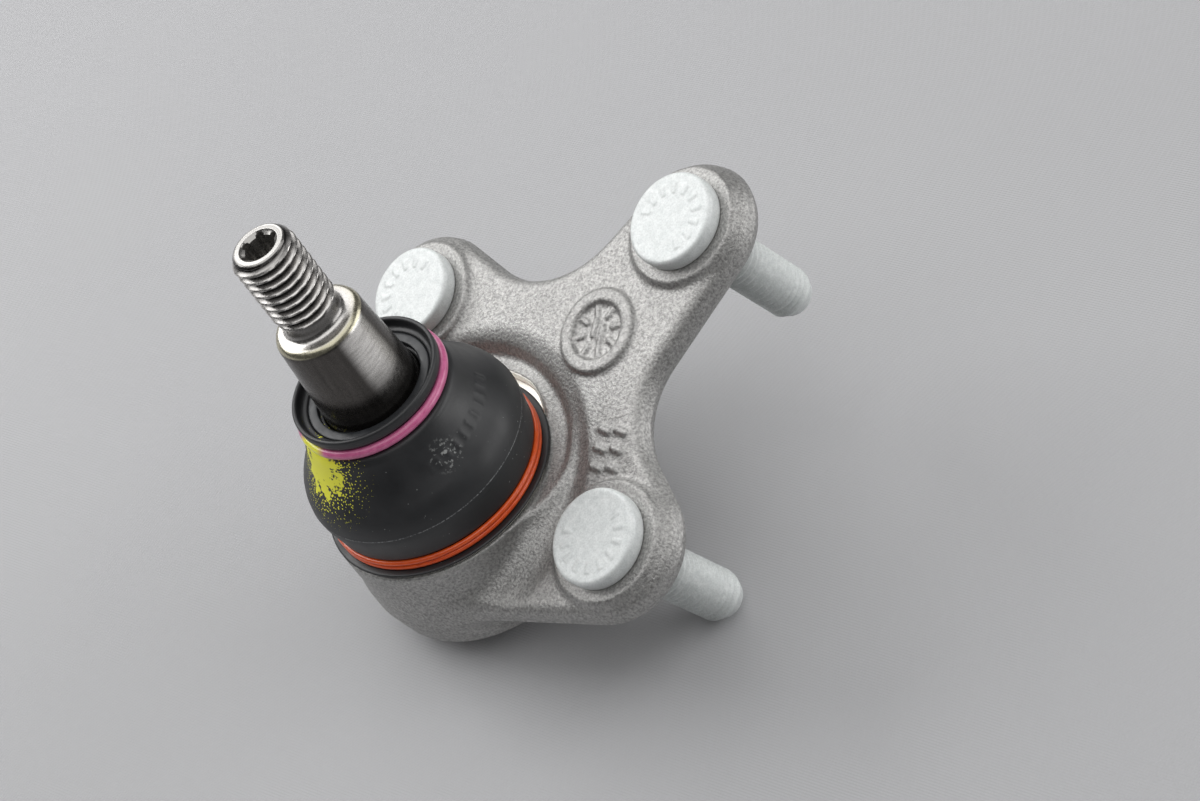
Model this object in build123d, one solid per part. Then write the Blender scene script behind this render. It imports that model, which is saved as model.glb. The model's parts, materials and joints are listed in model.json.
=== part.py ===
from build123d import *
import math
import os

# Suspension ball joint. A forged steel housing has three bolts pressed into its ears and a
# socket that leans away from them. The socket holds a ball stud between two plastic bearing
# shells, a pressed cover closes it from below, and a rubber boot with two wire rings seals it.
# Lengths are in millimetres and angles in degrees.

# Flange, in its own plane: the rear bolt stands at x = y = 0, and z = 0 is at the bolt seats.
front_bolt_x = 0.0
front_bolt_y = -58.1
left_bolt_x = -58.5
left_bolt_y = -14.2
hub_x = -24.0
hub_y = -32.0
rear_foot_x = -20.0
rear_foot_y = -37.6
ear_radius = 13.3
rear_ear_radius = 12.7
skirt_inset = 1.0
seat_radius = 11.05
seat_height = 1.2
seat_edge = 0.4
flange_thickness = 6.3
flange_edge_round = 2.3
right_waist_radius = 16.0
rear_waist_radius = 20.0
badge_x = -13.6
badge_y = -20.0
badge_radius = 8.1
badge_rim = 2.3
badge_height = 0.9
badge_edge = 0.35

# Socket: the ball's centre in the flange's frame, and the way that the socket's axis leans.
ball_x = -40.65
ball_y = -52.4
ball_z = -6.5
socket_lean = 20.1
socket_heading = 76.0

# Housing round the socket, measured along the socket's axis from the ball's centre.
body_radius = 22.45
body_top = 9.0
body_top_round = 0.7
body_waist = -8.8
body_foot = -12.2
body_foot_radius = 21.7
rim_bottom = -16.5
rim_radius = 17.6
rim_lip = 0.75
rim_lip_width = 2.0
boot_neck_radius = 18.3
boot_neck_height = 4.2
recess_clearance = 1.65
shoulder_width = 2.8
shoulder_top = 11.1
shoulder_depth = 9.0
shoulder_round = 1.2
shoulder_span = 112.0
shoulder_draft = 1.6
valley_radius = 28.6
valley_section = 3.2
valley_depth = 1.7
valley_heading = 25.0
valley_lean = 6.0
mouth_radius = 12.9
mouth_flare = 2.1

# Ball stud.
ball_radius = 13.5
neck_radius = 7.2
neck_end = 18.0
taper_start = 24.0
taper_end = 51.9
taper_end_radius = 8.4
taper_ratio = 8.0
collar_face = 54.2
collar_face_radius = 7.5
undercut_radius = 5.1
undercut_round = 0.6
stud_thread_radius = 5.9
stud_thread_start = 56.6
stud_thread_pitch = 1.75
stud_thread_depth = 0.95
stud_end = 73.4
stud_end_chamfer = 0.85
drive_lobe_reach = 3.7
drive_lobe_radius = 0.8
drive_core_radius = 2.95
drive_lobes = 6
drive_depth = 8.0

# Bearing and cover.
ball_clearance = 0.05
shell_wall = 2.05
shell_floor = 0.85
shell_clearance = 0.05
shell_split = -2.9
shell_split_gap = 0.1
shell_cone_start = 1.5
shell_top = 6.3
shell_cone_inset = 1.6
cover_radius = 16.4
cover_thickness = 1.25
cover_dimple_radius = 5.0
cover_dimple_depth = 0.45
seat_gap = 0.05

# Boot and its rings. Heights are measured along the socket's axis from the ball's centre.
boot_gap = 0.1
boot_lip_width = 3.55
boot_lip_thickness = 0.65
boot_lip_edge = 0.25
boot_wall = 1.8
boot_hip_reach = 0.2
boot_hip_rise = 0.3
boot_bulge = 0.7
boot_widest = 18.3
boot_shoulder_radius = 18.5
boot_shoulder = 24.6
boot_throat_radius = 15.3
boot_throat_drop = 2.7
boot_collar_wall = 2.7
boot_rim_radius = 14.25
boot_rim_rise = 3.4
boot_rim_wall = 1.9
boot_rim_edge = 0.5
boot_heel = 0.9
lower_wire_radius = 0.5
lower_ring_turns = 2
lower_wire_web = 0.45
upper_ring_radius = 13.8
upper_ring_height = 34.3
upper_wire_radius = 0.85
mouth_ring_inner = 10.15
mouth_ring_outer = 12.0
mouth_ring_depth = 1.9
mouth_ring_thickness = 1.2

# Bolts, measured from the seat.
bolt_head_radius = 8.8
bolt_head_height = 3.3
bolt_head_edge = 0.6
bolt_shank_radius = 5.4
bolt_hole_clearance = 0.03
bolt_thread_radius = 4.93
bolt_thread_relief = 1.0
bolt_thread_pitch = 1.5
bolt_thread_depth = 0.8
bolt_point_length = 2.6
bolt_point_radius = 4.0
bolt_point_chamfer = 0.35
bolt_length = 36.75

# Resting attitude: the plan heading of the line from the left bolt to the front bolt.
rest_heading = -77.5

bolt_places = {
    "bolt_rear": (0.0, 0.0),
    "bolt_front": (front_bolt_x, front_bolt_y),
    "bolt_left": (left_bolt_x, left_bolt_y),
}
flange_top = -seat_height
flange_bottom = flange_top - flange_thickness
shell_radius = ball_radius + ball_clearance + shell_wall
shell_top_radius = shell_radius - shell_cone_inset
shell_bottom = -ball_radius - ball_clearance - shell_floor
neck_top = body_top + boot_neck_height
boot_bore = boot_neck_radius + boot_gap
lower_groove_radius = boot_bore + boot_wall
lower_ring_radius = lower_groove_radius + boot_gap / 2 + lower_wire_radius
boot_hip_radius = lower_ring_radius + boot_hip_reach
boot_widest_radius = boot_hip_radius + boot_bulge
boot_lip_radius = boot_bore + boot_lip_width
recess_radius = boot_lip_radius + recess_clearance
shoulder_radius = recess_radius + shoulder_width
boot_throat = upper_ring_height - boot_throat_drop
boot_rim_top = upper_ring_height + boot_rim_rise
mouth_ring_top = boot_rim_top - mouth_ring_depth
boot_base = body_top + boot_gap
boot_lip_top = boot_base + boot_lip_thickness
lower_ring_width = 2 * lower_wire_radius * lower_ring_turns
lower_ring_bottom = boot_lip_top + boot_gap / 2


def leaning(lean, heading):
    """Unit vector that leans from +Z by lean, toward the plan heading."""
    lean = math.radians(lean)
    heading = math.radians(heading)
    side = math.sin(lean)
    return Vector(side * math.cos(heading), side * math.sin(heading), math.cos(lean))


socket_axis = leaning(socket_lean, socket_heading)
ball_centre = Vector(ball_x, ball_y, ball_z)
socket_side = Vector(math.sin(math.radians(socket_heading)), -math.cos(math.radians(socket_heading)), 0)
socket_frame = Plane(origin=ball_centre, x_dir=socket_side, z_dir=socket_axis)


def in_socket(shape):
    """A shape drawn about +Z from the ball's centre, set into the leaning socket."""
    return socket_frame.location * shape


def turned(points):
    """A solid turned about Z from (radius, height) points of its half section."""
    section = Polyline(*[(radius, 0, height) for radius, height in points], close=True)
    return revolve(make_face(section), axis=Axis.Z)


def ring(radius, height, wire_radius):
    """A round wire ring about Z."""
    return Pos(0, 0, height) * Torus(radius, wire_radius)


def thread_points(radius, depth, pitch, start, end):
    """Half section of a thread's crests and roots from start to end, one ridge per turn."""
    crest = pitch / 8
    direction = 1 if end > start else -1
    points = []
    for turn in range(math.floor(abs(end - start) / pitch)):
        base = start + direction * turn * pitch
        points.append((radius - depth, base + direction * crest))
        points.append((radius, base + direction * (pitch - crest) / 2))
        points.append((radius, base + direction * (pitch + crest) / 2))
        points.append((radius - depth, base + direction * (pitch - crest)))
    return points


# --- housing ---------------------------------------------------------------------------------


def arm(end_x, end_y, radius, foot_x, foot_y):
    """Plan of one arm: the ear's circle and its foot's circle, joined by their common tangents."""
    ear = Circle(radius).moved(Location((end_x, end_y, 0)))
    foot = Circle(ear_radius).moved(Location((foot_x, foot_y, 0)))
    return make_hull(ear.edges() + foot.edges())


def skirt(end_x, end_y):
    """Plan of the web between an ear and the socket, bounded by their common tangents."""
    ear = Circle(ear_radius).moved(Location((end_x, end_y, 0)))
    body = Circle(body_radius - skirt_inset).moved(Location((ball_x, ball_y, 0)))
    return make_hull(ear.edges() + body.edges())


def in_corner(vertex, end_a, end_b):
    """Whether a vertex lies between two arms, as seen from the hub."""
    reach = Vector(vertex.X - hub_x, vertex.Y - hub_y)
    side_a = Vector(end_a[0] - hub_x, end_a[1] - hub_y)
    side_b = Vector(end_b[0] - hub_x, end_b[1] - hub_y)
    return side_a.cross(reach).Z * side_b.cross(reach).Z < 0 and reach.dot(side_a + side_b) > 0


def waist(plan, end_a, end_b, radius):
    """The plan with the inner corner between two arms rounded."""
    middle = Vector((end_a[0] + end_b[0]) / 2, (end_a[1] + end_b[1]) / 2)
    corner = plan.vertices().filter_by(lambda vertex: in_corner(vertex, end_a, end_b))
    return fillet(corner.sort_by_distance(middle)[0], radius)


def flange_outline():
    """Plan of the three ears, their arms and the webs that run out to the socket. The rear arm
    widens on the front bolt's side, toward a second foot."""
    rear, front, left = bolt_places.values()
    plan = arm(*rear, rear_ear_radius, hub_x, hub_y)
    plan += arm(*rear, rear_ear_radius, rear_foot_x, rear_foot_y)
    plan += arm(*front, ear_radius, hub_x, hub_y) + skirt(*front)
    plan += arm(*left, ear_radius, hub_x, hub_y) + skirt(*left)
    plan = waist(plan, rear, front, right_waist_radius)
    return waist(plan, rear, left, rear_waist_radius)


def flange():
    plate = Pos(0, 0, flange_bottom) * extrude(flange_outline(), flange_thickness)
    rims = plate.faces().sort_by(Axis.Z)[-1].edges() + plate.faces().sort_by(Axis.Z)[0].edges()
    return fillet(rims, flange_edge_round)


def seat(x, y):
    pad = Pos(x, y, flange_bottom) * Cylinder(
        seat_radius, -flange_bottom, align=(Align.CENTER, Align.CENTER, Align.MIN)
    )
    return chamfer(pad.faces().sort_by(Axis.Z)[-1].edges(), seat_edge)


def badge():
    """Raised round rim on the web; its middle stays plain."""
    outer = Cylinder(badge_radius, badge_height, align=(Align.CENTER, Align.CENTER, Align.MIN))
    inner = Cylinder(badge_radius - badge_rim, badge_height, align=(Align.CENTER, Align.CENTER, Align.MIN))
    rim = outer - inner
    rim = fillet(rim.faces().sort_by(Axis.Z)[-1].edges(), badge_edge)
    return Pos(badge_x, badge_y, flange_top) * rim


def socket_body():
    """Turned outside of the socket, with the neck that the boot grips."""
    return turned([
        (0, rim_bottom),
        (rim_radius, rim_bottom),
        (body_foot_radius, body_foot),
        (body_radius, body_waist),
        (body_radius, body_top - body_top_round),
        (body_radius - body_top_round, body_top),
        (boot_neck_radius, body_top),
        (boot_neck_radius, neck_top),
        (0, neck_top),
    ])


def shoulder():
    """Sector of a raised ring round the boot's recess, on the flange side of the socket."""
    foot = shoulder_top - shoulder_depth
    section = Polyline(
        (boot_neck_radius, 0, foot),
        (body_radius, 0, foot),
        (shoulder_radius, 0, foot + shoulder_depth / 2),
        (shoulder_radius, 0, shoulder_top - shoulder_round),
        (shoulder_radius - shoulder_round, 0, shoulder_top),
        (boot_neck_radius, 0, shoulder_top),
        close=True,
    )
    sector = revolve(make_face(section), axis=Axis.Z, revolution_arc=shoulder_span)
    return Rot(0, 0, 90 - shoulder_span / 2) * sector


def socket_hollow():
    """Bore for the bearing, the cover's recess and the flared mouth that the stud leans in."""
    bore = shell_radius + shell_clearance
    lip = shell_top + seat_gap
    cover_top = shell_bottom - seat_gap
    cover_seat = cover_radius + seat_gap
    return turned([
        (0, rim_bottom),
        (cover_seat - rim_lip_width, rim_bottom),
        (cover_seat - rim_lip_width, rim_bottom + rim_lip),
        (cover_seat, rim_bottom + rim_lip),
        (cover_seat, cover_top),
        (bore, cover_top),
        (bore, shell_cone_start),
        (shell_top_radius + shell_clearance, lip),
        (mouth_radius, lip),
        (mouth_radius + mouth_flare, neck_top),
        (0, neck_top),
    ])


def boot_recess():
    """Forged step down to the shoulder, and the turned seat for the boot's lip inside it."""
    reach = shoulder_top + flange_thickness
    flare = shoulder_radius + shoulder_draft
    return turned([
        (boot_neck_radius, body_top),
        (recess_radius, body_top),
        (recess_radius, shoulder_top),
        (shoulder_radius - shoulder_round, shoulder_top),
        (shoulder_radius, shoulder_top + shoulder_round / 2),
        (flare, reach),
        (boot_neck_radius, reach),
    ])


def valley():
    """Rounded groove in the web beside the socket, deepest at valley_heading."""
    reach = (flange_top - ball_z) / socket_axis.Z
    centre = ball_centre + socket_axis * reach
    lift = valley_section - valley_depth + valley_radius * math.sin(math.radians(valley_lean))
    tilt = Rot(0, 0, valley_heading) * Rot(0, valley_lean, 0)
    return Pos(centre.X, centre.Y, flange_top + lift) * tilt * Torus(valley_radius, valley_section)


def housing():
    solid = flange()
    solid += in_socket(socket_body())
    solid += in_socket(shoulder())
    solid -= valley()
    for x, y in bolt_places.values():
        solid += seat(x, y)
    solid += badge()
    solid -= in_socket(boot_recess())
    solid -= in_socket(socket_hollow())
    for x, y in bolt_places.values():
        solid -= Pos(x, y, 0) * Cylinder(bolt_shank_radius + bolt_hole_clearance, 2 * bolt_length)
    return solid


# --- ball stud -------------------------------------------------------------------------------


def taper_radius(height):
    """Radius of the stud's 1 : taper_ratio cone at a height."""
    return taper_end_radius + (taper_end - height) / (2 * taper_ratio)


def drive_socket():
    """Six-lobe drive in the stud's end."""
    lobe_centre = drive_lobe_reach - drive_lobe_radius
    section = Circle(drive_core_radius)
    for lobe in range(drive_lobes):
        section += Rot(0, 0, 360 / drive_lobes * lobe) * Pos(lobe_centre, 0) * Circle(drive_lobe_radius)
    return Pos(0, 0, stud_end - drive_depth) * extrude(section, drive_depth)


def ball_stud():
    half_section = [(0, 0), (neck_radius, 0), (neck_radius, neck_end)]
    half_section += [(taper_radius(taper_start), taper_start), (taper_end_radius, taper_end)]
    half_section += [(collar_face_radius, collar_face), (undercut_radius + undercut_round, collar_face)]
    half_section += [(undercut_radius, collar_face + undercut_round), (undercut_radius, stud_thread_start)]
    thread_end = stud_end - stud_end_chamfer
    half_section += thread_points(
        stud_thread_radius, stud_thread_depth, stud_thread_pitch, stud_thread_start, thread_end
    )
    half_section += [(stud_thread_radius - stud_end_chamfer, stud_end), (0, stud_end)]
    return Sphere(ball_radius) + turned(half_section) - drive_socket()


# --- bearing and cover -----------------------------------------------------------------------


def ball_space():
    return Sphere(ball_radius + ball_clearance)


def upper_bearing_shell():
    blank = turned([
        (neck_radius, shell_split + shell_split_gap),
        (shell_radius, shell_split + shell_split_gap),
        (shell_radius, shell_cone_start),
        (shell_top_radius, shell_top),
        (neck_radius, shell_top),
    ])
    return blank - ball_space()


def lower_bearing_shell():
    blank = turned([
        (0, shell_bottom),
        (shell_radius, shell_bottom),
        (shell_radius, shell_split),
        (0, shell_split),
    ])
    return blank - ball_space()


def closing_cover():
    top = shell_bottom - 2 * seat_gap
    bottom = top - cover_thickness
    disc = turned([(0, bottom), (cover_radius, bottom), (cover_radius, top), (0, top)])
    dimple = Pos(0, 0, bottom) * Cylinder(
        cover_dimple_radius, cover_dimple_depth, align=(Align.CENTER, Align.CENTER, Align.MIN)
    )
    return disc - dimple


# --- boot and rings --------------------------------------------------------------------------


def lower_clamp_ring():
    """Round wire in touching turns; a narrow web joins the turns to one solid."""
    solid = ring(lower_ring_radius, lower_ring_bottom + lower_wire_radius, lower_wire_radius)
    for turn in range(1, lower_ring_turns):
        height = lower_ring_bottom + (2 * turn + 1) * lower_wire_radius
        web = turned([
            (lower_ring_radius - lower_wire_web / 2, height - 2 * lower_wire_radius),
            (lower_ring_radius + lower_wire_web / 2, height - 2 * lower_wire_radius),
            (lower_ring_radius + lower_wire_web / 2, height),
            (lower_ring_radius - lower_wire_web / 2, height),
        ])
        solid += ring(lower_ring_radius, height, lower_wire_radius) + web
    return solid


def upper_clamp_ring():
    return ring(upper_ring_radius, upper_ring_height, upper_wire_radius)


def boot_mouth_ring():
    """Flat ring moulded into the boot's mouth, clear of the stud's taper."""
    bottom = mouth_ring_top - mouth_ring_thickness
    return turned([
        (mouth_ring_inner, bottom),
        (mouth_ring_outer, bottom),
        (mouth_ring_outer, mouth_ring_top),
        (mouth_ring_inner, mouth_ring_top),
    ])


def moulded_wall(first, last, inset):
    """Curve of the boot's bulging wall between two points, inset from the outside."""
    widest = (boot_widest_radius - inset, 0, boot_widest)
    shoulder_point = (boot_shoulder_radius - inset, 0, boot_shoulder - inset / 2)
    return Spline((first[0], 0, first[1]), widest, shoulder_point, (last[0], 0, last[1]))


def dust_boot():
    """Moulded boot: base lip, groove, bulging wall, groove and dished mouth."""
    groove_top = boot_lip_top + lower_ring_width + boot_gap
    heel_top = neck_top + boot_gap
    hip = (boot_hip_radius, groove_top + boot_hip_rise)
    hip_inside = (boot_hip_radius - boot_wall, hip[1] + boot_wall)
    throat = (boot_throat_radius, boot_throat)
    throat_inside = (boot_throat_radius - boot_collar_wall, boot_throat - boot_wall / 2)
    upper_groove = upper_ring_radius - upper_wire_radius - boot_gap / 2
    upper_half = upper_wire_radius + boot_gap
    ring_bottom = mouth_ring_top - mouth_ring_thickness - boot_gap / 2
    ring_outer = mouth_ring_outer + boot_gap / 2
    mouth = [
        throat,
        (upper_groove, upper_ring_height - upper_half),
        (upper_groove, upper_ring_height + upper_half),
        (boot_rim_radius, upper_ring_height + upper_half + boot_rim_edge),
        (boot_rim_radius, boot_rim_top - boot_rim_edge),
        (boot_rim_radius - boot_rim_edge, boot_rim_top),
        (boot_rim_radius - boot_rim_wall, boot_rim_top),
        (ring_outer, mouth_ring_top),
        (ring_outer, ring_bottom),
        (taper_radius(ring_bottom) + boot_gap, ring_bottom),
        (taper_radius(throat_inside[1]) + boot_gap, throat_inside[1]),
        throat_inside,
    ]
    base = [
        hip_inside,
        (boot_bore + boot_heel, heel_top),
        (boot_bore, heel_top - boot_heel),
        (boot_bore, boot_base),
        (boot_lip_radius, boot_base),
        (boot_lip_radius, boot_lip_top - boot_lip_edge),
        (lower_groove_radius, boot_lip_top),
        (lower_groove_radius, groove_top),
        hip,
    ]
    outline = moulded_wall(hip, throat, 0).edges() + moulded_wall(hip_inside, throat_inside, boot_wall).edges()
    for points in (mouth, base):
        outline += Polyline(*[(radius, 0, height) for radius, height in points]).edges()
    return revolve(make_face(Wire(outline)), axis=Axis.Z)


# --- bolts -----------------------------------------------------------------------------------


def bolt():
    """Round-headed bolt, head up, with its seat at z = 0 and its thread below."""
    thread_top = flange_bottom - bolt_thread_relief
    half_section = [(0, bolt_head_height), (bolt_head_radius - bolt_head_edge, bolt_head_height)]
    half_section += [(bolt_head_radius, bolt_head_height - bolt_head_edge), (bolt_head_radius, 0)]
    half_section += [(bolt_shank_radius, 0), (bolt_shank_radius, flange_bottom)]
    half_section += [(bolt_thread_radius - bolt_thread_depth, thread_top + bolt_thread_relief / 2)]
    thread_end = bolt_point_length - bolt_length
    half_section += thread_points(
        bolt_thread_radius, bolt_thread_depth, bolt_thread_pitch, thread_top, thread_end
    )
    half_section += [(bolt_point_radius, -bolt_length + bolt_point_chamfer)]
    half_section += [(bolt_point_radius - bolt_point_chamfer, -bolt_length), (0, -bolt_length)]
    return turned(half_section)


# --- resting attitude ------------------------------------------------------------------------


def lowest_on_circle(centre, axis, radius, up):
    """The point of a circle that lies lowest against the direction up."""
    down = (axis * up.dot(axis) - up).normalized()
    return centre + down * radius


def resting_frame():
    """The plane that carries the part: two bolt points and the edge of the socket's rim."""
    up = Vector(0, 0, 1)
    point_radius = bolt_point_radius - bolt_point_chamfer
    for _ in range(40):
        front = Vector(front_bolt_x, front_bolt_y, -bolt_length)
        left = Vector(left_bolt_x, left_bolt_y, -bolt_length)
        if up.Z < 0.9999:
            front = lowest_on_circle(front, Vector(0, 0, 1), point_radius, up)
            left = lowest_on_circle(left, Vector(0, 0, 1), point_radius, up)
        rim = lowest_on_circle(ball_centre + socket_axis * rim_bottom, socket_axis, rim_radius, up)
        normal = (front - left).cross(rim - left).normalized()
        up = normal if normal.Z > 0 else normal * -1
    along = (front - left).normalized()
    across = up.cross(along)
    turn = math.radians(rest_heading)
    row_x = along * math.cos(turn) - across * math.sin(turn)
    return Plane(origin=rim, x_dir=row_x, z_dir=up)


def all_nodes():
    nodes = {"housing": housing()}
    nodes["ball_stud"] = in_socket(ball_stud())
    nodes["upper_bearing_shell"] = in_socket(upper_bearing_shell())
    nodes["lower_bearing_shell"] = in_socket(lower_bearing_shell())
    nodes["closing_cover"] = in_socket(closing_cover())
    nodes["dust_boot"] = in_socket(dust_boot())
    nodes["boot_mouth_ring"] = in_socket(boot_mouth_ring())
    nodes["upper_clamp_ring"] = in_socket(upper_clamp_ring())
    nodes["lower_clamp_ring"] = in_socket(lower_clamp_ring())
    for name, (x, y) in bolt_places.items():
        nodes[name] = Pos(x, y, 0) * bolt()
    return nodes


def standing(nodes):
    """The nodes turned to rest on z = 0, with the origin under the middle of their box."""
    to_rest = resting_frame().location.inverse()
    rested = {name: to_rest * shape for name, shape in nodes.items()}
    box = rested["housing"].bounding_box()
    for shape in rested.values():
        box = box.add(shape.bounding_box())
    shift = Pos(-box.center().X, -box.center().Y, -box.min.Z)
    return {name: shift * shape for name, shape in rested.items()}


os.makedirs("parts", exist_ok=True)
for name, shape in standing(all_nodes()).items():
    export_step(shape, f"parts/{name}.step")
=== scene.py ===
import json
import math

import bpy
import numpy as np
from mathutils import Matrix, Vector


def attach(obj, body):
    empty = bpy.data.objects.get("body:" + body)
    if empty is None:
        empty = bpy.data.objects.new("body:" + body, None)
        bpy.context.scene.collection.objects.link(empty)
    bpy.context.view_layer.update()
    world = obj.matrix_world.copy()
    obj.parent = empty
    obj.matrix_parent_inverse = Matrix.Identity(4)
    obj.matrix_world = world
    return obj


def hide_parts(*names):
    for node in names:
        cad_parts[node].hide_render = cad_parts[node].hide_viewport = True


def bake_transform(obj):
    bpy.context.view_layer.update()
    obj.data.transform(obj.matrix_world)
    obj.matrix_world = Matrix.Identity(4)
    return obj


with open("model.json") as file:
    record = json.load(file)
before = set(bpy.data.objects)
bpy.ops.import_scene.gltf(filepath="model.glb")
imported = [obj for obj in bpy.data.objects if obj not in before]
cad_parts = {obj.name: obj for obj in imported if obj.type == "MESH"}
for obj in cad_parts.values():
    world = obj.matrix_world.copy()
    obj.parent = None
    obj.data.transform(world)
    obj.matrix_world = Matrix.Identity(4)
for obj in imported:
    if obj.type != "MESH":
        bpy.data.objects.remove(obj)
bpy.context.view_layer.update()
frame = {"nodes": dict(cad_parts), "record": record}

# --- camera ----------------------------------------------------------------------------------
# Hand-held view from the side of the front bolt, looking down on the part. The camera is rolled
# about its own line of sight, so the level floor runs across the view at a slant.

camera_aim = Vector((0.0054, -0.0020, 0.0300))
camera_distance = 0.4905
camera_elevation = math.radians(48.37)
camera_roll = math.radians(-21.72)
camera_lens = 81.48


def add_camera():
    """Looks along +Y and down by the elevation, with its right side turned by the roll."""
    forward = Vector((0, math.cos(camera_elevation), -math.sin(camera_elevation)))
    level_right = Vector((1, 0, 0))
    right = level_right * math.cos(camera_roll) + level_right.cross(forward) * math.sin(camera_roll)
    up = right.cross(forward)
    data = bpy.data.cameras.new("view")
    data.lens = camera_lens
    data.clip_start = 0.01
    camera = bpy.data.objects.new("view", data)
    turn = Matrix((right, up, -forward)).transposed().to_4x4()
    turn.translation = camera_aim - forward * camera_distance
    camera.matrix_world = turn
    bpy.context.scene.collection.objects.link(camera)
    bpy.context.scene.camera = camera


add_camera()

# --- housing ---------------------------------------------------------------------------------
# One carbon-steel drop forging: a flat flange with three round ears and a cup that leans from it.
# Blended where the dies blend it, shot-blasted grey all over, then turned only where the boot sits.

millimetre = 0.001
record = frame["record"]
mounts = {mount["name"]: mount for mount in record["mounts"]}
joints = {joint["name"]: joint for joint in record["behaviour"]["joints"]}
seat_to_thread_middle = 21.25


def unit(vector):
    """The vector divided by its length."""
    return np.array(vector) / np.linalg.norm(vector)


def flange_axes():
    """Origin and axes of the flange: the rear bolt's seat, with Y from the front bolt to it and Z
    out of the heads."""
    rear, front = mounts["bolt_rear_thread"], mounts["bolt_front_thread"]
    up = -unit(rear["axis"])
    along = unit(np.array(rear["pos_m"]) - np.array(front["pos_m"]))
    origin = np.array(rear["pos_m"]) + up * seat_to_thread_middle * millimetre
    return origin, np.array([np.cross(along, up), along, up])


def socket_axes():
    """Origin and axes of the socket: the ball's centre, with X to the side that leans down and Z
    along the stud."""
    up = unit(joints["swing_direction"]["axis"])
    side = unit(joints["stud_tilt"]["axis"])
    return np.array(joints["stud_tilt"]["pos_m"]), np.array([np.cross(up, side), -side, up])


flange_frame = flange_axes()
socket_frame = socket_axes()
socket_origin = flange_frame[1] @ (socket_frame[0] - flange_frame[0]) / millimetre
socket_turn = socket_frame[1] @ flange_frame[1].T

ears = {"rear": ((0, 0), 12.7), "front": ((0, -58.1), 13.3), "left": ((-58.5, -14.2), 13.3)}
hub, rear_foot, foot_radius = (-24.0, -32.0), (-20.0, -37.6), 13.3
skirt_radius = 21.45
right_waist, rear_waist = 16.0, 20.0
flange_top, flange_bottom = -1.2, -7.5
flange_edge = 2.3
flange_draft = 0.06
parting_height, parting_ridge, parting_width = -4.6, 0.28, 0.5
seat_radius, seat_draft, seat_edge, seat_foot = 11.05, 0.14, 0.45, 1.3
pad_bottom = -4
bolt_hole = 5.43
badge_centre, badge_middle, badge_width, badge_rise = (-13.7, -19.9), 6.75, 2.5, 0.95
badge_edge, badge_foot = 0.55, 0.9
badge_ticks, badge_tick_turn, badge_tick_span, badge_tick_size = 8, 0.3, (3.1, 4.6), (0.5, 0.45)
badge_bar_shift, badge_bar_foot, badge_bar_length, badge_bar_size = 0.9, -1.2, 2.6, (0.55, 0.5)
cavity_start, cavity_pitch = (-7.6, -44.6), (3.6, 3.4)
cavity_stroke, cavity_bar_size = (2.0, -0.5), (0.62, 0.5)
mark_edge, mark_foot = 0.3, 0.35
cup_section = [
    (0, -16.5), (17.6, -16.5), (21.7, -12.2), (22.45, -8.8), (22.45, 8.5), (21.9, 9.0), (0, 9.0)]
cup_round = 0.7
cup_fillet = 3.4
cup_ridge_share = 0.6
neck_radius, neck_middle, neck_top, neck_edge = 18.3, 6, 13.2, 0.4
shoulder_radius, shoulder_top, shoulder_round = 26.3, 11.1, 1.4
shoulder_root, shoulder_full, shoulder_gone = 21.4, math.radians(60), math.radians(105)
underside_start, underside_normal, underside_round = (22.45, 2.1), (0.751, 0.66), 1.5
rim_high, rim_low, rim_drop = math.radians(10), math.radians(44), 0.5
rim_dropped = shoulder_full + 0.3
step_foot, step_edge = 1.0, 1.5
recess_radius, recess_floor, recess_flare, covered_radius = 23.6, 9.0, 0.30, 21.75
seat_room_beside, seat_room_below = 0.12, 0.14
hollow_section = [
    (0, -17.5), (14.45, -17.5), (14.45, -15.7), (16.45, -15.7), (16.45, -14.4), (15.8, -14.3),
    (15.8, 1.6), (14.3, 6.5), (12.9, 6.6), (15.0, 13.3), (0, 13.3)]
valley_radius, valley_section, valley_depth = 28.6, 3.2, 1.2
valley_heading, valley_lean, valley_edge = math.radians(25), math.radians(6), 1.6
casting_low, casting_high, casting_cell = (-73, -78, -30), (15, 15, 14), 0.5


def filled(a, b, radius):
    """Union of two distances with a round fillet of that radius in the corner between them."""
    return np.maximum(radius, np.minimum(a, b)) - np.hypot(
        np.maximum(radius - a, 0), np.maximum(radius - b, 0))


def trimmed(a, b, radius):
    """Common part of two distances with their shared edge rounded to that radius."""
    return np.minimum(-radius, np.maximum(a, b)) + np.hypot(
        np.maximum(radius + a, 0), np.maximum(radius + b, 0))


def eased(value, start, end):
    """0 before start, 1 after end, and 3t^2 - 2t^3 between them."""
    share = np.clip((value - start) / (end - start), 0, 1)
    return share * share * (3 - 2 * share)


def tapered_bar(x, y, start, start_radius, end, end_radius):
    """Plan distance to two circles and their common tangents: the tangent's normal leans by the
    difference of the radii over the distance of the centres."""
    reach = math.dist(start, end)
    along_x, along_y = (end[0] - start[0]) / reach, (end[1] - start[1]) / reach
    along = (x - start[0]) * along_x + (y - start[1]) * along_y
    across = np.abs((x - start[0]) * along_y - (y - start[1]) * along_x)
    lean = (start_radius - end_radius) / reach
    rise = math.sqrt(1 - lean * lean)
    share = rise * along - lean * across
    side = lean * along + rise * across - start_radius
    near_start = np.hypot(along, across) - start_radius
    near_end = np.hypot(along - reach, across) - end_radius
    return np.where(share < 0, near_start, np.where(share > rise * reach, near_end, side))


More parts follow.
